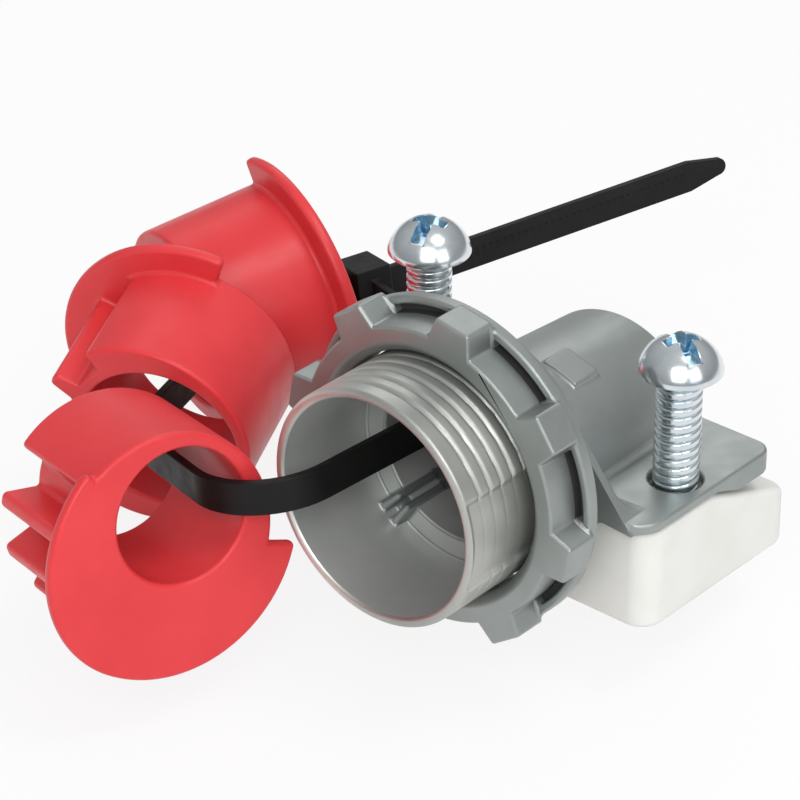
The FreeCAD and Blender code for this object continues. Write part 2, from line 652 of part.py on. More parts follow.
def build_bushing(name, hole_alias, smooth_alias, rib_count, place_name, axis, thin_side):
    body = new_body(name)
    offset = size("sleeve_radius") - size("sleeve_wall") - size(hole_alias)

    tube_sketch = new_sketch(body, name + "_tube_outline", "XY_Plane")
    tube = size(hole_alias) + size("sleeve_wall")
    circle = tube_sketch.addGeometry(Part.Circle(Vector(offset, 0, 0), Vector(0, 0, 1), tube), False)
    limit = tube_sketch.addConstraint(Sketcher.Constraint("Radius", circle, tube))
    tube_sketch.setExpression("Constraints[%d]" % limit, "dims.%s + dims.sleeve_wall" % hole_alias)
    pad(body, name + "_tube", tube_sketch, "dims.sleeve_length")

    smooth = size(smooth_alias)
    round_sketch = new_sketch(body, name + "_round_side_outline", "XY_Plane")
    if smooth < 180:
        draw_ring_sector(round_sketch, size("sleeve_wall"), size("sleeve_radius"), -smooth, smooth)
    else:
        draw_circle(round_sketch, 0, 0, "sleeve_radius")
    pad(body, name + "_round_side", round_sketch, "dims.sleeve_length")

    flange_sketch = new_sketch(body, name + "_flange_outline", "XY_Plane")
    draw_ring_sector(
        flange_sketch, size("sleeve_wall"), size("flange_radius"),
        180 - size("flange_half_angle"), 180 + size("flange_half_angle"))
    pad(body, name + "_flange", flange_sketch, "dims.flange_thickness")

    rib_angles = [smooth + size("rib_step_angle") * (step + 1) for step in range(rib_count)]
    for index, angle in enumerate([sign * angle for angle in rib_angles for sign in (1, -1)], start=1):
        turn = Placement(Vector(0, 0, 0), Rotation(Vector(0, 0, 1), angle))
        label = "%s_rib_%d" % (name, index)
        rib = new_sketch(body, label + "_outline", "XY_Plane", turn)
        root = size("rib_root_width") / 2
        half = size("rib_tip_width") / 2
        tip = math.sqrt(size("sleeve_radius") ** 2 - half ** 2)
        draw_polygon(rib, [
            (size("sleeve_wall"), -root), (tip, -half), (tip, half), (size("sleeve_wall"), root),
        ])
        pad(body, label, rib, "dims.sleeve_length")

    hole_sketch = new_sketch(body, name + "_hole_outline", "XY_Plane")
    draw_circle(hole_sketch, offset, 0, hole_alias)
    pocket(body, name + "_hole", hole_sketch, "2 * dims.sleeve_length", True)

    along = Vector(*axis).normalize()
    thin = Vector(*thin_side)
    thin = thin - along * thin.dot(along)
    thin.normalize()
    turn = Rotation(thin, along.cross(thin), along, "ZXY")
    body.Placement = Placement(place_of(place_name), turn)
    return body


# how the loose bushings lie: way of the sleeve, thin side
SMALL_AXIS = (0.293, 0.947, -0.132)
SMALL_THIN = (0.570, -0.062, 0.819)
MEDIUM_AXIS = (-0.913, -0.371, -0.173)
MEDIUM_THIN = (0.383, -0.923, -0.042)
LARGE_AXIS = (-0.940, 0.302, -0.161)
LARGE_THIN = (0.318, 0.944, -0.087)

bushing_small = build_bushing(
    "bushing_small", "hole_radius_small", "smooth_angle_small", 3,
    "small_bushing", SMALL_AXIS, SMALL_THIN)
bushing_medium = build_bushing(
    "bushing_medium", "hole_radius_medium", "smooth_angle_medium", 1,
    "medium_bushing", MEDIUM_AXIS, MEDIUM_THIN)
bushing_large = build_bushing(
    "bushing_large", "hole_radius_large", "smooth_angle_large", 0,
    "large_bushing", LARGE_AXIS, LARGE_THIN)


# Cable tie: a flat strap swept along straight runs and tangent bends, with its head and its
# tail. It stands on edge, so its width keeps the way of the strap plane's normal.

def rounded_wire(corners, radii):
    """straight runs through the corners, joined by tangent arcs"""
    edges = []
    start = corners[0]
    for before, corner, after, radius in zip(corners, corners[1:], corners[2:], radii):
        came = (corner - before).normalize()
        goes = (after - corner).normalize()
        turn = came.getAngle(goes)
        arc_start = corner - came * (radius * math.tan(turn / 2))
        arc_end = corner + goes * (radius * math.tan(turn / 2))
        inward = (goes - came).normalize()
        arc_middle = corner + inward * (radius / math.cos(turn / 2) - radius)
        edges.append(Part.LineSegment(start, arc_start).toShape())
        edges.append(Part.Arc(arc_start, arc_middle, arc_end).toShape())
        start = arc_end
    edges.append(Part.LineSegment(start, corners[-1]).toShape())
    return Part.Wire(edges)


cable_tie = new_body("cable_tie")
strap_turn = Rotation(Vector(1, 0, 0), -size("strap_fall_angle"))
strap_up = strap_turn.multVec(Vector(0, 0, 1))
tail_direction = strap_turn.multVec(Vector(0.942, -0.332, 0).normalize())
root_direction = tail_direction.cross(strap_up)
tie_head = place_of("tie_head")
half_strap = size("strap_thickness") / 2

BENDS = [
    ("strap_root", 6.0), ("strap_low", 9.0), ("strap_rear", 6.0), ("strap_tunnel", 40.0),
    ("strap_throat", 60.0), ("strap_front", 10.5), ("strap_left", 13.0), ("strap_return", 25.0),
]
strap_corners = [tie_head + root_direction * (size("tie_head_length") / 2 - half_strap)]
strap_corners += [place_of(name) for name, radius in BENDS]
strap_corners += [tie_head - tail_direction * (size("tie_head_depth") / 2 - half_strap)]
strap_path = doc.addObject("Part::Feature", "strap_path")
strap_path.Shape = rounded_wire(strap_corners, [radius for name, radius in BENDS])

strap_start = (strap_corners[1] - strap_corners[0]).normalize()
strap_side = strap_up.cross(strap_start).normalize()
section_turn = Rotation(strap_side, strap_up, strap_side.cross(strap_up), "ZXY")
section_sketch = new_sketch(cable_tie, "strap_section", "XY_Plane", Placement(strap_corners[0], section_turn))
half_width = size("strap_width") / 2
draw_polygon(section_sketch, [
    (-half_strap, -half_width), (half_strap, -half_width),
    (half_strap, half_width), (-half_strap, half_width),
])
strap_loop = cable_tie.newObject("PartDesign::AdditivePipe", "strap_loop")
strap_loop.Profile = section_sketch
strap_loop.Spine = (strap_path, ["Edge%d" % (index + 1) for index in range(len(strap_path.Shape.Edges))])
strap_loop.Mode = "Binormal"
strap_loop.Binormal = strap_up
cable_tie.Tip = strap_loop

head_turn = Rotation(tail_direction, root_direction * -1, strap_up, "ZXY")
head_sketch = new_sketch(cable_tie, "tie_head_outline", "XY_Plane", Placement(tie_head, head_turn))
head_x = size("tie_head_depth") / 2
head_y = size("tie_head_length") / 2
draw_polygon(head_sketch, [(-head_x, -head_y), (head_x, -head_y), (head_x, head_y), (-head_x, head_y)])
pad(cable_tie, "tie_head", head_sketch, "dims.tie_head_width", both_ways=True)

tail_turn = Rotation(tail_direction, strap_up, root_direction, "ZXY")
tail_turn = Rotation(root_direction, size("tail_lift_angle")).multiply(tail_turn)
tail_place = Placement(tie_head - strap_up * size("tail_drop"), tail_turn)
tail_sketch = new_sketch(cable_tie, "tail_outline", "XY_Plane", tail_place)
tip_start = size("tail_length") - size("tail_tip_length")
tip_centre = size("tail_length") - size("tail_tip_radius")
tail_outline = [
    (tip_centre, size("tail_tip_radius")), (tip_start, half_width), (0.0, half_width),
    (0.0, -half_width), (tip_start, -half_width), (tip_centre, -size("tail_tip_radius")),
]
for start, end in zip(tail_outline[:-1], tail_outline[1:]):
    draw_line(tail_sketch, start, end)
draw_arc(tail_sketch, tip_centre, 0, size("tail_tip_radius"), -90, 90)
pad(cable_tie, "tail", tail_sketch, "dims.strap_thickness", both_ways=True)

doc.recompute()

NODES = [
    connector, locknut, saddle, clamp_screw_left, clamp_screw_right,
    bushing_small, bushing_medium, bushing_large, cable_tie,
]

for item in doc.Objects:
    if "Invalid" in item.State or "Error" in item.State:
        raise RuntimeError("%s did not rebuild: %s" % (item.Name, item.State))

os.makedirs("parts", exist_ok=True)
for node in NODES:
    shape = node.Shape
    if shape.isNull() or not shape.isValid() or len(shape.Solids) != 1:
        raise RuntimeError("%s has no single valid solid" % node.Label)
    shape.exportStep("parts/%s.step" % node.Label)
    box = shape.BoundBox
    print("%s: %.1f x %.1f x %.1f mm" % (node.Label, box.XLength, box.YLength, box.ZLength))
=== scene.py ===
import math

import bmesh
import bpy
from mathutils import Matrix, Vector


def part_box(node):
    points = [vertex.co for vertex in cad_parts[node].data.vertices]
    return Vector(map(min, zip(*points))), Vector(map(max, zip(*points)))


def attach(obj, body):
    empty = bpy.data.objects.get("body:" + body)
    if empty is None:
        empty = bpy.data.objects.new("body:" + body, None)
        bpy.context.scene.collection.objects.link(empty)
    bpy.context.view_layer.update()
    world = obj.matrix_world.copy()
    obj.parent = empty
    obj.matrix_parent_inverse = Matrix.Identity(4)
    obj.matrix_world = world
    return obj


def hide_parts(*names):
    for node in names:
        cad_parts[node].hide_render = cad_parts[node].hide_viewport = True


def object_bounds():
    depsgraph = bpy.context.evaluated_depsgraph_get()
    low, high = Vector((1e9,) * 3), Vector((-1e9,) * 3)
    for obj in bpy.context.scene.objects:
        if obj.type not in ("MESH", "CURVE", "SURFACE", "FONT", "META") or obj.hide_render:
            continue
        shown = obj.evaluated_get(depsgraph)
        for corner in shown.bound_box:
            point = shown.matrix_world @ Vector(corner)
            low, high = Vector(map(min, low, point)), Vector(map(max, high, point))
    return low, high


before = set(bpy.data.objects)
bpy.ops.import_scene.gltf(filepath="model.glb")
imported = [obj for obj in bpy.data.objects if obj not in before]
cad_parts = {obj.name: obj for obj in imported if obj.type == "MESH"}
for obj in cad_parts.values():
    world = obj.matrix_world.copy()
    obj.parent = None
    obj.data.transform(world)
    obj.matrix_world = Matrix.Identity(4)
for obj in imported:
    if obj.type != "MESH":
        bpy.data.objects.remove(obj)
cad_low, cad_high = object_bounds()

# Connector casting
# One die-cast piece of zinc alloy: threaded hub, front wall, ears and half-tunnel.
# Its skin is satin grey with softened edges. The thread's colour carries painted light: it is lighter
# on the +Y side, where light falls.

MM = 0.001
CAST_WELD = 0.12 * MM
CAST_ROUND = 0.4 * MM
HUB_CREST = 16.7 * MM
HUB_RIM = 16.35 * MM
HUB_LENGTH = 22.8 * MM
HUB_BORE = 15.4 * MM
THROAT_RADIUS = 12.0 * MM
STOP_AREA = 3.0 * MM * MM
THREAD_PITCH = 2.2 * MM
THREAD_DEPTH = 0.42 * MM
THREAD_INSIDE = 15.9 * MM
THREAD_END = 0.8 * MM
CREST_BREADTH = 5.0
PLAIN_RIM = 1.3 * MM
MOUTH_DEPTH = 0.4 * MM
MOUTH_INSIDE = 15.2 * MM
MOUTH_ROUND = (
    (0.35, 15.30), (0.22, 15.38), (0.11, 15.49), (0.04, 15.62), (0.0, 15.78),
    (0.0, 15.95), (0.0, 16.10), (0.03, 16.24), (0.09, 16.36), (0.18, 16.47))
FLAT_RELIEF = 0.6 * MM
FLAT_TOP = 157.5
FLAT_FOOT = 201.0
FLAT_EDGE = 1.0
FLAT_FADE = 0.9
SHALLOW_FOOT = 246.0
SHALLOW_RUN_OUT = 15.0
SHALLOW_FADE = 0.75
WALL_FOOT = -2.5 * MM
EAR_INSIDE = 20.0 * MM
EAR_OUTSIDE = 24.35 * MM
EAR_FRONT = 28.0 * MM
WALL_CORNER = 22.0 * MM
WALL_FRONT = 23.4 * MM
AROUND_STEPS = 288
ALONG_STEPS = 190


def smooth_step(low, high, value):
    share = min(1.0, max(0.0, (value - low) / (high - low)))
    return share * share * (3.0 - 2.0 * share)


def clean_copy(node, weld):
    """the mesh of a solid with its close corners welded and its flat faces made whole"""
    shape = bmesh.new()
    shape.from_mesh(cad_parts[node].data)
    bmesh.ops.remove_doubles(shape, verts=shape.verts, dist=weld)
    bmesh.ops.dissolve_limit(
        shape, angle_limit=math.radians(0.6), use_dissolve_boundaries=False,
        verts=shape.verts, edges=shape.edges, delimit=set())
    return shape


def round_edges(shape, radius, steps=2, sharper_than=38.0, left_sharp=None):
    """softens the sharp edges of a cast or moulded piece, but for the places left sharp"""
    edges = [
        edge for edge in shape.edges
        if len(edge.link_faces) == 2 and edge.calc_face_angle() > math.radians(sharper_than)
        and not (left_sharp and left_sharp(edge))
    ]
    bmesh.ops.bevel(
        shape, geom=edges, offset=radius, offset_type="OFFSET", segments=steps,
        profile=0.5, affect="EDGES", clamp_overlap=False, loop_slide=True)


def finish_piece(shape, name, materials, sharp_angle=34.0):
    """turns the mesh into an object whose flat faces stay flat between rounded edges"""
    mesh = bpy.data.meshes.new(name)
    shape.normal_update()
    shape.to_mesh(mesh)
    shape.free()
    for material in materials:
        mesh.materials.append(material)
    mesh.shade_smooth()
    mesh.set_sharp_from_angle(angle=math.radians(sharp_angle))
    piece = bpy.data.objects.new(name, mesh)
    bpy.context.scene.collection.objects.link(piece)
    even = piece.modifiers.new("even_faces", "WEIGHTED_NORMAL")
    even.keep_sharp = True
    return piece


def join_rings(shape, rings, material_index=0):
    """closes the wall between each ring of corners and the next one"""
    for near, far in zip(rings[:-1], rings[1:]):
        for corner in range(len(near)):
            following = (corner + 1) % len(near)
            face = shape.faces.new((near[corner], near[following], far[following], far[corner]))
            face.material_index = material_index


class Finish:
    """a node material with object-space noise, made step by step"""

    noise_low = 0.3
    noise_high = 0.7

    def __init__(self, name):
        self.material = bpy.data.materials.new(name)
        self.material.use_nodes = True
        self.nodes = self.material.node_tree.nodes
        self.links = self.material.node_tree.links
        self.shader = self.nodes["Principled BSDF"]
        self.place = self.nodes.new("ShaderNodeTexCoord")

    def noise(self, scale, detail=4.0, roughness=0.55):
        node = self.nodes.new("ShaderNodeTexNoise")
        node.inputs["Scale"].default_value = scale
        node.inputs["Detail"].default_value = detail
        node.inputs["Roughness"].default_value = roughness
        self.links.new(self.place.outputs["Object"], node.inputs["Vector"])
        return node.outputs["Fac"]

    def colours(self, fac, stops):
        ramp = self.nodes.new("ShaderNodeValToRGB")
        self.links.new(fac, ramp.inputs["Fac"])
        ramp.color_ramp.elements[0].position = stops[0][0]
        ramp.color_ramp.elements[0].color = (*stops[0][1], 1.0)
        ramp.color_ramp.elements[1].position = stops[-1][0]
        ramp.color_ramp.elements[1].color = (*stops[-1][1], 1.0)
        for position, colour in stops[1:-1]:
            ramp.color_ramp.elements.new(position).color = (*colour, 1.0)
        self.links.new(ramp.outputs["Color"], self.shader.inputs["Base Color"])

    def gloss(self, fac, smooth, rough):
        spread = self.nodes.new("ShaderNodeMapRange")
        spread.inputs["From Min"].default_value = self.noise_low
        spread.inputs["From Max"].default_value = self.noise_high
        spread.inputs["To Min"].default_value = smooth
        spread.inputs["To Max"].default_value = rough
        self.links.new(fac, spread.inputs["Value"])
        self.links.new(spread.outputs["Result"], self.shader.inputs["Roughness"])

    def grain(self, fac, depth, strength):
        bump = self.nodes.new("ShaderNodeBump")
        bump.inputs["Distance"].default_value = depth
        bump.inputs["Strength"].default_value = strength
        self.links.new(fac, bump.inputs["Height"])
        self.links.new(bump.outputs["Normal"], self.shader.inputs["Normal"])

    def setting(self, socket, value):
        self.shader.inputs[socket].default_value = value


def cast_zinc():
    finish = Finish("cast_zinc_skin")
    finish.colours(finish.noise(90.0), [
        (0.30, (0.300, 0.328, 0.318)),
        (0.55, (0.340, 0.366, 0.355)),
        (0.75, (0.375, 0.398, 0.386))])
    finish.gloss(finish.noise(260.0), 0.38, 0.48)
    finish.grain(finish.noise(1500.0, 2.0), 0.02 * MM, 0.12)
    finish.setting("Metallic", 0.74)
    return finish.material


def cast_thread():
    finish = Finish("cast_thread_painted_light")
    across = finish.nodes.new("ShaderNodeSeparateXYZ")
    finish.links.new(finish.place.outputs["Object"], across.inputs["Vector"])
    # painted light: the thread's base colour runs along Y. It is lightest on the +Y side, darkest a
    # little to the -Y side of the axis, and lighter again at the -Y edge.
    painted_light_by_side = finish.nodes.new("ShaderNodeMapRange")
    painted_light_by_side.inputs["From Min"].default_value = -HUB_CREST
    painted_light_by_side.inputs["From Max"].default_value = HUB_CREST
    finish.links.new(across.outputs["Y"], painted_light_by_side.inputs["Value"])
    mottle_and_painted_light = finish.nodes.new("ShaderNodeMath")
    mottle_and_painted_light.operation = "MULTIPLY_ADD"
    mottle_and_painted_light.inputs[1].default_value = 0.16
    finish.links.new(finish.noise(110.0), mottle_and_painted_light.inputs[0])
    finish.links.new(painted_light_by_side.outputs["Result"], mottle_and_painted_light.inputs[2])
    finish.colours(mottle_and_painted_light.outputs["Value"], [
        (0.08, (0.50, 0.505, 0.475)),
        (0.40, (0.37, 0.378, 0.360)),
        (0.62, (0.42, 0.428, 0.405)),
        (0.92, (0.74, 0.73, 0.69))])
    finish.gloss(finish.noise(300.0), 0.38, 0.48)
    finish.grain(finish.noise(900.0, 2.0), 0.02 * MM, 0.15)
    finish.setting("Metallic", 0.8)
    return finish.material


# painted light: the hub's bore and inner stop get a lighter, less metallic copy of the zinc, standing
# in for light reaching inside the hub
def painted_light_bore():
    finish = Finish("cast_bore_painted_light")
    finish.colours(finish.noise(90.0), [(0.32, (0.50, 0.52, 0.505)), (0.7, (0.57, 0.585, 0.57))])
    finish.gloss(finish.noise(260.0), 0.38, 0.48)
    finish.grain(finish.noise(1500.0, 2.0), 0.02 * MM, 0.12)
    finish.setting("Metallic", 0.5)
    return finish.material


def thread_height(share):
    """one pitch of the cast thread, 0 at its narrow root and 1 on its broad rounded crest"""
    off_crest = abs(2.0 * (share % 1.0) - 1.0)
    return 1.0 - off_crest ** CREST_BREADTH


def hub_radius(x, degrees):
    """outside of the hub: rim chamfer, thread, and the plain sides where the die parts"""
    side = 180.0 - degrees if math.cos(math.radians(degrees)) > 0 else degrees
    side %= 360.0
    on_flat = smooth_step(FLAT_TOP - FLAT_EDGE, FLAT_TOP + FLAT_EDGE, side)
    on_flat *= 1.0 - smooth_step(FLAT_FOOT - FLAT_EDGE, FLAT_FOOT + FLAT_EDGE, side)
    below_flat = smooth_step(FLAT_TOP, FLAT_FOOT, side)
    below_flat *= 1.0 - smooth_step(SHALLOW_FOOT, SHALLOW_FOOT + SHALLOW_RUN_OUT, side)
    depth = THREAD_DEPTH * (1.0 - FLAT_FADE * on_flat) * (1.0 - SHALLOW_FADE * below_flat)
    depth *= smooth_step(PLAIN_RIM, PLAIN_RIM + 0.5 * THREAD_PITCH, x)
    depth *= 1.0 - smooth_step(HUB_LENGTH - THREAD_END, HUB_LENGTH - 0.25 * THREAD_END, x)
    radius = HUB_CREST - FLAT_RELIEF * on_flat * smooth_step(0.0, PLAIN_RIM, x)
    radius -= depth * (1.0 - thread_height((x / THREAD_PITCH) - degrees / 360.0))
    return min(radius, HUB_RIM + x)


def at_wall_foot(edge):
    """the thin corners where the front wall runs into the ears"""
    for x, y, z in (vert.co for vert in edge.verts):
        by_ear = EAR_INSIDE < abs(y) < EAR_OUTSIDE and x < EAR_FRONT
        by_corner = abs(y) > WALL_CORNER and x < WALL_FRONT
        if z < WALL_FOOT + 0.1 * MM and (by_ear or by_corner):
            return True
    return False


zinc_skin = cast_zinc()
casting = clean_copy("connector_body", CAST_WELD)
outside_faces = []
for face in casting.faces:
    along = [vert.co.x for vert in face.verts]
    out = [vert.co.yz.length for vert in face.verts]
    on_mouth = max(along) < MOUTH_DEPTH and min(out) > MOUTH_INSIDE
    on_thread = min(along) < HUB_LENGTH - 0.05 * MM and min(out) > THREAD_INSIDE
    if (on_mouth or on_thread) and max(out) < HUB_CREST + 0.1 * MM:
        outside_faces.append(face)
bmesh.ops.delete(casting, geom=outside_faces, context="FACES")
bmesh.ops.bisect_plane(
    casting, geom=list(casting.verts) + list(casting.edges) + list(casting.faces),
    plane_co=(0.0, 0.0, WALL_FOOT), plane_no=(0.0, 0.0, 1.0))
round_edges(casting, CAST_ROUND, left_sharp=at_wall_foot)
# faces inside the hub take the lighter bore colour, which is painted light
for face in casting.faces:
    centre = face.calc_center_median()
    inward = -face.normal.dot(Vector((0.0, centre.y, centre.z)).normalized())
    inside_hub = centre.yz.length < HUB_BORE and centre.x < HUB_LENGTH
    on_bore = inward > 0.5 and centre.yz.length > THROAT_RADIUS - CAST_ROUND
    on_stop = face.normal.x < -0.5 and face.calc_area() > STOP_AREA
    if inside_hub and (on_bore or on_stop):
        face.material_index = 2

hub_rows = [(x * MM, radius * MM) for x, radius in MOUTH_ROUND]
thread_start = hub_rows[-1][0]
for row in range(1, ALONG_STEPS + 1):
    hub_rows.append((thread_start + (HUB_LENGTH - thread_start) * row / ALONG_STEPS, None))
thread_rings = []
for x, mouth_radius in hub_rows:
    ring = []
    for column in range(AROUND_STEPS):
        degrees = 360.0 * column / AROUND_STEPS
        radius = mouth_radius or hub_radius(x, degrees)
        angle = math.radians(degrees)
        ring.append(casting.verts.new((x, radius * math.cos(angle), radius * math.sin(angle))))
    thread_rings.append(ring)
join_rings(casting, thread_rings, material_index=1)
connector_casting = finish_piece(
    casting, "connector_casting", [zinc_skin, cast_thread(), painted_light_bore()])
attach(connector_casting, "connector")
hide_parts("connector_body")

# Locknut
# A die-cast zinc ring screwed on the hub, with lugs round its front for a driver's tip
# and arc slots between the ring and the rear rim. Same grey skin as the casting, but the slots hold
# painted shade: near-black walls, and thin dark sheets closing them from behind.

NUT_WELD = 0.1 * MM
NUT_ROUND = 0.42 * MM
SLOT_COUNT = 8
SLOT_STEP = 360.0 / SLOT_COUNT
FIRST_SLOT = 32.5
SLOT_HALF_ANGLE = 14.0
SLOT_FRONT = 15.25 * MM
SLOT_RING = 20.9 * MM
SLOT_RIM = 22.0 * MM
SLOT_MARGIN = 0.15 * MM
SHADE_SHEET_INSIDE = 20.7 * MM
SHADE_SHEET_OUTSIDE = 22.2 * MM
SHADE_SHEET_DEPTH = 0.4 * MM
SHADE_SHEET_THICKNESS = 0.35 * MM
SHADE_SHEET_STEPS = 8


# painted shade: a near-black zinc for the slot walls and the sheets behind them, where the slots lie
# in shade
def shaded_zinc():
    finish = Finish("shaded_zinc")
    finish.colours(finish.noise(150.0), [(0.35, (0.030, 0.031, 0.030)), (0.7, (0.052, 0.053, 0.051))])
    finish.gloss(finish.noise(300.0), 0.55, 0.65)
    return finish.material


nut = clean_copy("locknut", NUT_WELD)
bmesh.ops.bisect_plane(
    nut, geom=list(nut.verts) + list(nut.edges) + list(nut.faces),
    plane_co=(SLOT_FRONT, 0.0, 0.0), plane_no=(1.0, 0.0, 0.0))
round_edges(nut, NUT_ROUND, steps=3)
# painted shade: the ring and rim walls of each slot, behind SLOT_FRONT, take the near-black zinc
for face in nut.faces:
    centre = face.calc_center_median()
    outward = face.normal.dot(Vector((0.0, centre.y, centre.z)).normalized())
    turn = math.degrees(math.atan2(centre.z, centre.y)) - FIRST_SLOT
    turn = (turn + SLOT_STEP / 2) % SLOT_STEP - SLOT_STEP / 2
    if abs(turn) < SLOT_HALF_ANGLE and centre.x > SLOT_FRONT:
        on_ring = outward > 0.8 and abs(centre.yz.length - SLOT_RING) < SLOT_MARGIN
        on_rim = outward < -0.8 and abs(centre.yz.length - SLOT_RIM) < SLOT_MARGIN
        face.material_index = 1 if on_ring or on_rim else 0
rear = max(vert.co.x for vert in nut.verts)
# painted shade: a thin dark sheet closes each slot from behind, where there is only shade
shade_sheet_outline = (
    (SHADE_SHEET_DEPTH, SHADE_SHEET_INSIDE), (SHADE_SHEET_DEPTH, SHADE_SHEET_OUTSIDE),
    (SHADE_SHEET_DEPTH + SHADE_SHEET_THICKNESS, SHADE_SHEET_OUTSIDE), (SHADE_SHEET_DEPTH + SHADE_SHEET_THICKNESS, SHADE_SHEET_INSIDE))
for slot in range(SLOT_COUNT):
    shade_sheet_rings = []
    for step in range(SHADE_SHEET_STEPS + 1):
        turn = FIRST_SLOT + SLOT_STEP * slot + SLOT_HALF_ANGLE * (2.0 * step / SHADE_SHEET_STEPS - 1.0)
        angle = math.radians(turn)
        shade_sheet_rings.append([
            nut.verts.new((rear - depth, radius * math.cos(angle), radius * math.sin(angle)))
            for depth, radius in shade_sheet_outline])
    join_rings(nut, shade_sheet_rings, material_index=1)
lugged_nut = finish_piece(nut, "lugged_locknut", [zinc_skin, shaded_zinc()])
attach(lugged_nut, "locknut")
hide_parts("locknut")

# Saddle
# A hollow off-white block under the ears, pulled up by the screws to grip the cable.
# It is moulded with well-rounded edges and a matt skin.


def white_moulding():
    finish = Finish("white_moulding")
    finish.colours(finish.noise(70.0), [(0.35, (0.755, 0.75, 0.71)), (0.7, (0.81, 0.805, 0.775))])
    finish.gloss(finish.noise(300.0), 0.46, 0.58)
    finish.grain(finish.noise(1800.0, 2.0), 0.02 * MM, 0.2)
    return finish.material


SADDLE_WELD = 0.05 * MM
SADDLE_ROUND = 0.9 * MM
SCREW_HOLE = 3.6 * MM
HOLE_MARGIN = 0.5 * MM
screw_middles = []
for screw_node in ("clamp_screw_left", "clamp_screw_right"):
    screw_low, screw_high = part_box(screw_node)
    screw_middles.append((screw_low + screw_high) / 2)


def at_screw_hole(edge):
    """the holes stay sharp, so that the screws keep their clearance"""
    return any(
        (vert.co - middle).xy.length < SCREW_HOLE + HOLE_MARGIN
        for vert in edge.verts for middle in screw_middles)


block = clean_copy("saddle", SADDLE_WELD)
round_edges(block, SADDLE_ROUND, steps=3, left_sharp=at_screw_hole)
cable_saddle = finish_piece(block, "cable_saddle", [white_moulding()])
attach(cable_saddle, "saddle")
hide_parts("saddle")

# Clamp screws
# Two machine screws of steel with a bright zinc plate that is blue in the recess: a rolled
# thread under a round head with a slot and a cross. They pass the ears and draw the saddle up.

SCREW_CREST = 3.1 * MM
SCREW_PITCH = 1.27 * MM
SCREW_DEPTH = 0.6 * MM
SCREW_TIP = 0.8 * MM
SCREW_LENGTH = 31.7 * MM
HEAD_RADIUS = 5.7 * MM
HEAD_HEIGHT = 4.9 * MM
HEAD_RIM = 0.6 * MM
HEAD_EDGE = 0.15 * MM
HEAD_DOME = HEAD_HEIGHT - HEAD_RIM
DOME_RADIUS = (HEAD_RADIUS ** 2 + HEAD_DOME ** 2) / (2 * HEAD_DOME)
RECESS_ROUND = 0.1 * MM
RECESS_MARGIN = 0.12 * MM
HEAD_SLOT_HALF = 0.95 * MM
HEAD_SLOT_DEPTH = 1.9 * MM
CROSS_REACH = 3.1 * MM
CROSS_FOOT = 1.3 * MM
CROSS_FOOT_HALF = 0.6 * HEAD_SLOT_HALF
CROSS_DEPTH = 2.9 * MM
HEAD_TURNS = {"left": 16.0, "right": 62.0}
HEAD_COLUMNS = 96
DOME_STEPS = 20
SHANK_COLUMNS = 56
SHANK_ROWS = 360


def zinc_plate():
    finish = Finish("bright_zinc_plate")
    finish.colours(finish.noise(200.0), [
        (0.32, (0.62, 0.69, 0.73)),
        (0.55, (0.73, 0.78, 0.81)),
        (0.75, (0.82, 0.84, 0.85))])
    finish.gloss(finish.noise(500.0), 0.16, 0.24)
    finish.grain(finish.noise(900.0, 2.0), 0.015 * MM, 0.15)
    finish.setting("Metallic", 1.0)
    return finish.material


def blue_plate():
    finish = Finish("blue_recess_plate")
    finish.colours(finish.noise(500.0), [(0.35, (0.32, 0.50, 0.64)), (0.7, (0.54, 0.70, 0.80))])
    finish.gloss(finish.noise(600.0), 0.18, 0.30)
    finish.setting("Metallic", 1.0)
    return finish.material


def scratch_object(shape, name):
    """a blank or a punch, which is taken away again after the cut"""
    mesh = bpy.data.meshes.new(name)
    shape.to_mesh(mesh)
    shape.free()
    piece = bpy.data.objects.new(name, mesh)
    bpy.context.scene.collection.objects.link(piece)
    return piece


def turned_head():
    """the round head as it comes from heading, with its underside at z = 0"""
    rim_angle = math.atan2(DOME_RADIUS - HEAD_DOME, HEAD_RADIUS)
    profile = [
        (SCREW_CREST - SCREW_DEPTH, 0.0), (HEAD_RADIUS - HEAD_EDGE, 0.0), (HEAD_RADIUS, HEAD_EDGE)]
    for step in range(DOME_STEPS):
        angle = rim_angle + (math.pi / 2 - rim_angle) * step / DOME_STEPS
        up = HEAD_HEIGHT - DOME_RADIUS + DOME_RADIUS * math.sin(angle)
        profile.append((DOME_RADIUS * math.cos(angle), up))
    shape = bmesh.new()
    angles = [2 * math.pi * column / HEAD_COLUMNS for column in range(HEAD_COLUMNS)]
    rings = []
    for out, up in profile:
        rings.append([shape.verts.new((out * math.cos(a), out * math.sin(a), up)) for a in angles])
    top = shape.verts.new((0.0, 0.0, HEAD_HEIGHT))
    join_rings(shape, rings)
    for column in range(HEAD_COLUMNS):
        shape.faces.new((rings[-1][column], rings[-1][(column + 1) % HEAD_COLUMNS], top))
    shape.faces.new(list(reversed(rings[0])))
    return shape


def recess_punch(top_outline, foot_outline, foot):
    """a tapered punch from above the head down to the foot of the recess"""
    shape = bmesh.new()
    upper = [shape.verts.new((x, y, HEAD_HEIGHT + MM)) for x, y in top_outline]
    lower = [shape.verts.new((x, y, foot)) for x, y in foot_outline]
    shape.faces.new(upper)
    shape.faces.new(list(reversed(lower)))
    for index in range(len(upper)):
        following = (index + 1) % len(upper)
        shape.faces.new((lower[index], lower[following], upper[following], upper[index]))
    return shape


def cross_outline(reach, half):
    """a cross of four arms, from one arm turned three times"""
    quarter = [(reach, -half), (reach, half), (half, half)]
    outline = []
    for turn in range(4):
        for x, y in quarter:
            outline.append(((x, y), (-y, x), (-x, -y), (y, -x))[turn])
    return outline


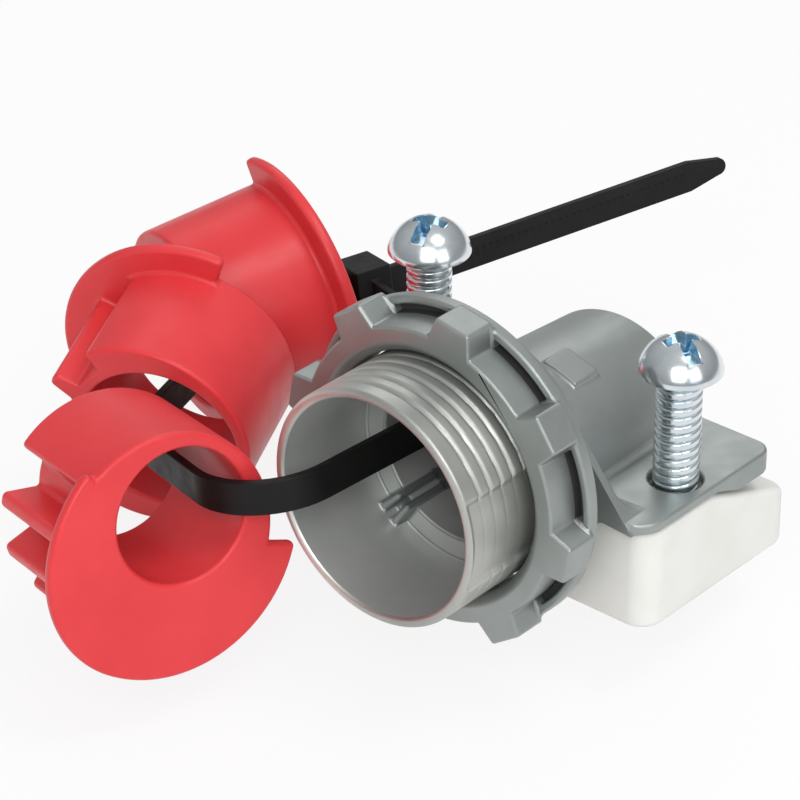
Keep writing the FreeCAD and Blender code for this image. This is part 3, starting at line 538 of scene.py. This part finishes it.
def punched_head():
    """the head with its slot and cross, as a mesh on the origin"""
    head = scratch_object(turned_head(), "head_blank")
    wide = 2 * HEAD_RADIUS
    slot = [
        (-wide, -HEAD_SLOT_HALF), (wide, -HEAD_SLOT_HALF),
        (wide, HEAD_SLOT_HALF), (-wide, HEAD_SLOT_HALF)]
    cross_top = cross_outline(CROSS_REACH, HEAD_SLOT_HALF)
    cross_foot = cross_outline(CROSS_FOOT, CROSS_FOOT_HALF)
    punches = [
        scratch_object(recess_punch(slot, slot, HEAD_HEIGHT - HEAD_SLOT_DEPTH), "slot_punch"),
        scratch_object(recess_punch(cross_top, cross_foot, HEAD_HEIGHT - CROSS_DEPTH), "cross_punch"),
    ]
    for punch in punches:
        cut = head.modifiers.new("recess", "BOOLEAN")
        cut.operation = "DIFFERENCE"
        cut.solver = "EXACT"
        cut.object = punch
    bpy.context.view_layer.update()
    shape = bmesh.new()
    shape.from_object(head, bpy.context.evaluated_depsgraph_get())
    for piece in [head] + punches:
        bpy.data.objects.remove(piece)
    bmesh.ops.dissolve_limit(
        shape, angle_limit=math.radians(0.3), use_dissolve_boundaries=False,
        verts=shape.verts, edges=shape.edges, delimit=set())
    round_edges(shape, RECESS_ROUND, sharper_than=45.0)
    middle = Vector((0.0, 0.0, HEAD_HEIGHT - DOME_RADIUS))
    for face in shape.faces:
        centre = face.calc_center_median()
        inside = (centre - middle).length < DOME_RADIUS - RECESS_MARGIN
        face.material_index = 1 if inside and centre.z > 1.5 * HEAD_RIM else 0
    return shape


def screw_piece(node, side, body, plates):
    """one screw in its place: the punched head on a rolled shank with a pointed end"""
    low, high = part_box(node)
    middle = (low + high) / 2
    under_head = low.z + SCREW_LENGTH
    shape = punched_head()
    turn = math.radians(HEAD_TURNS[side])
    for vert in shape.verts:
        x, y, z = vert.co
        vert.co = (
            middle.x + x * math.cos(turn) - y * math.sin(turn),
            middle.y + x * math.sin(turn) + y * math.cos(turn),
            under_head + z)
    rings = []
    for row in range(SHANK_ROWS + 1):
        up = SCREW_LENGTH * row / SHANK_ROWS
        ring = []
        for column in range(SHANK_COLUMNS):
            share = column / SHANK_COLUMNS
            radius = SCREW_CREST - SCREW_DEPTH * (1.0 - thread_height(up / SCREW_PITCH - share))
            radius = min(radius, SCREW_CREST - SCREW_TIP + up)
            angle = 2 * math.pi * share
            ring.append(shape.verts.new((
                middle.x + radius * math.cos(angle), middle.y + radius * math.sin(angle), low.z + up)))
        rings.append(ring)
    join_rings(shape, rings)
    shape.faces.new(list(reversed(rings[0])))
    piece = finish_piece(shape, side + "_clamp_screw", plates)
    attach(piece, body)
    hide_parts(node)


screw_plates = [zinc_plate(), blue_plate()]
screw_piece("clamp_screw_left", "left", "screw_left", screw_plates)
screw_piece("clamp_screw_right", "right", "screw_right", screw_plates)

# Throat bushings
# Three injection-moulded red plastic bushings that fit the hub and narrow it for thinner
# cable. The hole is off centre, ribs back the thick side, and half a flange stops them.


def red_moulding():
    finish = Finish("red_moulding")
    finish.colours(finish.noise(80.0), [
        (0.35, (0.690, 0.038, 0.045)), (0.7, (0.755, 0.050, 0.057))])
    finish.gloss(finish.noise(300.0), 0.31, 0.41)
    finish.grain(finish.noise(1600.0, 2.0), 0.02 * MM, 0.2)
    finish.setting("Specular IOR Level", 0.36)
    return finish.material


SLEEVE_WELD = 0.03 * MM
SLEEVE_ROUND = 0.65 * MM
FLANGE_MIDDLE = Vector((-16.95, 19.35, -5.0)) * MM
FLANGE_AXIS = Vector((0.293, 0.947, -0.132)).normalized()
FLANGE_THIN = Vector((0.570, -0.062, 0.819)).normalized()
FLANGE_ROOT = 15.3 * MM
FLANGE_THICK = 1.85 * MM
FLANGE_MARGIN = 0.2 * MM
FLANGE_TAPER = 2.6 * MM
TAPER_TURN = 95.0


def behind_flange(edge):
    """the roots of the ribs and the sleeve on the back of the small flange"""
    outs = [vert.co - FLANGE_MIDDLE for vert in edge.verts]
    on_back = all(abs(out.dot(FLANGE_AXIS) - FLANGE_THICK) < FLANGE_MARGIN for out in outs)
    return on_back and not edge.is_convex


def taper_flange(shape):
    """draws the small flange in towards one end, where it runs out into the sleeve"""
    across = FLANGE_AXIS.cross(FLANGE_THIN)
    for vert in shape.verts:
        out = vert.co - FLANGE_MIDDLE
        out -= FLANGE_AXIS * out.dot(FLANGE_AXIS)
        from_thick = math.degrees(math.atan2(-out.dot(across), -out.dot(FLANGE_THIN)))
        if out.length > FLANGE_ROOT:
            vert.co -= out.normalized() * FLANGE_TAPER * smooth_step(0.0, TAPER_TURN, from_thick)


red_skin = red_moulding()
for bushing_size in ("small", "medium", "large"):
    sleeve = clean_copy("bushing_" + bushing_size, SLEEVE_WELD)
    left_sharp = None
    if bushing_size == "small":
        taper_flange(sleeve)
        left_sharp = behind_flange
    round_edges(sleeve, SLEEVE_ROUND, steps=3, left_sharp=left_sharp)
    throat_bushing = finish_piece(sleeve, bushing_size + "_throat_bushing", [red_skin])
    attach(throat_bushing, "connector")
    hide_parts("bushing_" + bushing_size)

# Cable tie
# A black nylon tie moulded in one piece, closed through the hub and the three bushings.
# Its tail stands out behind the head, with a toothed track between two plain edges.

STRAP_WELD = 0.05 * MM
STRAP_ROUND = 0.22 * MM
TRACK_EDGE = 0.75 * MM
TRACK_DEPTH = 0.16 * MM
TOOTH_PITCH = 1.2 * MM
TOOTH_RUN = 0.8 * TOOTH_PITCH
TOOTH_HEIGHT = 0.13 * MM
TOOTH_SUNK = 0.05 * MM
TRACK_START = 9.0 * MM
TRACK_END = 7.5 * MM


def black_nylon():
    finish = Finish("black_nylon")
    finish.colours(finish.noise(120.0), [
        (0.35, (0.0055, 0.0055, 0.0055)), (0.7, (0.0090, 0.0087, 0.0085))])
    finish.gloss(finish.noise(400.0), 0.42, 0.55)
    finish.grain(finish.noise(1800.0, 2.0), 0.02 * MM, 0.2)
    finish.setting("Specular IOR Level", 0.22)
    return finish.material


strap = clean_copy("cable_tie", STRAP_WELD)
round_edges(strap, STRAP_ROUND)
tail_face = max(
    (face for face in strap.faces if face.normal.y < 0), key=lambda face: face.calc_area())
tail_normal = tail_face.normal.copy()
tail_runs = [edge.verts[1].co - edge.verts[0].co for edge in tail_face.edges]
tail_way = max(tail_runs, key=lambda run: run.length).normalized()
if tail_way.x < 0:
    tail_way = -tail_way
tail_across = tail_normal.cross(tail_way)
reaches = [vert.co.dot(tail_way) for vert in tail_face.verts]
sides = [vert.co.dot(tail_across) for vert in tail_face.verts]
track_half = (max(sides) - min(sides)) / 2 - 2 * TRACK_EDGE
track_floor = tail_normal * (tail_face.verts[0].co.dot(tail_normal) - TRACK_DEPTH)
track_middle = tail_across * (max(sides) + min(sides)) / 2
bmesh.ops.inset_region(strap, faces=[tail_face], thickness=TRACK_EDGE, depth=-TRACK_DEPTH)
tooth_place = min(reaches) + TRACK_START
while tooth_place < max(reaches) - TRACK_END:
    foot = track_floor + track_middle + tail_way * tooth_place
    corners = []
    for side in (-track_half, track_half):
        base = foot + tail_across * side
        sunk = base - tail_normal * TOOTH_SUNK
        corners.append([
            strap.verts.new(sunk), strap.verts.new(sunk + tail_way * TOOTH_RUN),
            strap.verts.new(base + tail_way * TOOTH_RUN + tail_normal * TOOTH_HEIGHT)])
    near, far = corners
    strap.faces.new(near)
    strap.faces.new(list(reversed(far)))
    for index in range(3):
        following = (index + 1) % 3
        strap.faces.new((near[following], near[index], far[index], far[following]))
    tooth_place += TOOTH_PITCH
bmesh.ops.recalc_face_normals(strap, faces=strap.faces)
nylon_tie = finish_piece(strap, "nylon_cable_tie", [black_nylon()])
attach(nylon_tie, "connector")
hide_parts("cable_tie")

# Studio
# A pale floor low enough for the let-down saddle and the driven screws, a soft white
# surround, and large soft lamps.

FLOOR_HALF = 2.5
FLOOR_WHITE = 0.86
SADDLE_DROP_ROOM = 7.2 * MM
floor_height = cad_low.z - SADDLE_DROP_ROOM


def pale_floor():
    """white paper that shows nearly white to the camera and in metal, with a soft shadow"""
    material = bpy.data.materials.new("pale_floor")
    material.use_nodes = True
    nodes = material.node_tree.nodes
    links = material.node_tree.links
    output = nodes["Material Output"]
    paper = nodes["Principled BSDF"]
    paper.inputs["Base Color"].default_value = (FLOOR_WHITE, FLOOR_WHITE, FLOOR_WHITE, 1.0)
    paper.inputs["Roughness"].default_value = 0.9
    glow = nodes.new("ShaderNodeEmission")
    glow.inputs["Color"].default_value = (1.0, 1.0, 1.0, 1.0)
    path = nodes.new("ShaderNodeLightPath")
    seen = nodes.new("ShaderNodeMath")
    seen.operation = "MAXIMUM"
    links.new(path.outputs["Is Camera Ray"], seen.inputs[0])
    links.new(path.outputs["Is Glossy Ray"], seen.inputs[1])
    clear = nodes.new("ShaderNodeMath")
    clear.operation = "MAXIMUM"
    links.new(seen.outputs["Value"], clear.inputs[0])
    links.new(path.outputs["Is Transmission Ray"], clear.inputs[1])
    lit = nodes.new("ShaderNodeMath")
    lit.operation = "MULTIPLY"
    links.new(clear.outputs["Value"], lit.inputs[0])
    lit.inputs[1].default_value = FLOOR_WHITE
    mix = nodes.new("ShaderNodeMixShader")
    links.new(lit.outputs["Value"], mix.inputs["Fac"])
    links.new(paper.outputs["BSDF"], mix.inputs[1])
    links.new(glow.outputs["Emission"], mix.inputs[2])
    links.new(mix.outputs["Shader"], output.inputs["Surface"])
    return material


floor_mesh = bpy.data.meshes.new("floor")
floor_mesh.from_pydata(
    [(x, y, floor_height) for x, y in (
        (-FLOOR_HALF, -FLOOR_HALF), (FLOOR_HALF, -FLOOR_HALF),
        (FLOOR_HALF, FLOOR_HALF), (-FLOOR_HALF, FLOOR_HALF))],
    [], [(0, 1, 2, 3)])
floor_mesh.materials.append(pale_floor())
floor = bpy.data.objects.new("floor", floor_mesh)
bpy.context.scene.collection.objects.link(floor)

world = bpy.data.worlds.new("studio_surround")
world.use_nodes = True
bpy.context.scene.world = world
surround = world.node_tree.nodes["Background"]
direction = world.node_tree.nodes.new("ShaderNodeTexCoord")
split = world.node_tree.nodes.new("ShaderNodeSeparateXYZ")
world.node_tree.links.new(direction.outputs["Generated"], split.inputs["Vector"])
sky = world.node_tree.nodes.new("ShaderNodeValToRGB")
sky.color_ramp.elements[0].position = 0.0
sky.color_ramp.elements[0].color = (0.36, 0.37, 0.38, 1.0)
sky.color_ramp.elements[1].position = 0.9
sky.color_ramp.elements[1].color = (0.80, 0.80, 0.80, 1.0)
world.node_tree.links.new(split.outputs["Z"], sky.inputs["Fac"])
world.node_tree.links.new(sky.outputs["Color"], surround.inputs["Color"])
surround.inputs["Strength"].default_value = 0.75

AIM = Vector((22.0, 18.0, 0.0)) * MM


def soft_lamp(name, place, width, height, watts):
    """a lamp with a wide soft face, turned to the middle of the part"""
    lamp = bpy.data.lights.new(name, "AREA")
    lamp.shape = "RECTANGLE"
    lamp.size = width
    lamp.size_y = height
    lamp.energy = watts
    holder = bpy.data.objects.new(name, lamp)
    holder.location = place
    holder.rotation_mode = "QUATERNION"
    holder.rotation_quaternion = (AIM - Vector(place)).to_track_quat("-Z", "Y")
    bpy.context.scene.collection.objects.link(holder)


soft_lamp("key_lamp", (-0.55, -0.40, 0.50), 0.50, 0.50, 3.4)
soft_lamp("front_lamp", (-0.10, -0.75, 0.40), 0.45, 0.45, 1.1)
soft_lamp("top_lamp", (0.08, -0.30, 0.75), 0.28, 0.28, 1.5)
soft_lamp("back_lamp", (0.60, 0.45, 0.55), 0.40, 0.30, 0.8)

# Camera
# At the photograph's place: low over the hub's mouth, with a long lens.

VIEW_TARGET = Vector((5.56, 0.0, 13.68)) * MM
VIEW_DISTANCE = 477.5 * MM
VIEW_AZIMUTH = math.radians(-49.21)
VIEW_HEIGHT = math.radians(30.33)
SENSOR_WIDTH = 36.0
FOCAL_LENGTH = 169.95

view_back = Vector((
    math.sin(VIEW_AZIMUTH) * math.cos(VIEW_HEIGHT),
    -math.cos(VIEW_AZIMUTH) * math.cos(VIEW_HEIGHT),
    math.sin(VIEW_HEIGHT)))
lens = bpy.data.cameras.new("photo_camera")
lens.sensor_width = SENSOR_WIDTH
lens.lens = FOCAL_LENGTH
lens.clip_start = 0.01
camera = bpy.data.objects.new("photo_camera", lens)
camera.location = VIEW_TARGET + view_back * VIEW_DISTANCE
camera.rotation_mode = "QUATERNION"
camera.rotation_quaternion = (-view_back).to_track_quat("-Z", "Y")
bpy.context.scene.collection.objects.link(camera)
bpy.context.scene.camera = camera
bpy.context.scene.view_settings.view_transform = "Standard"

bpy.context.view_layer.update()
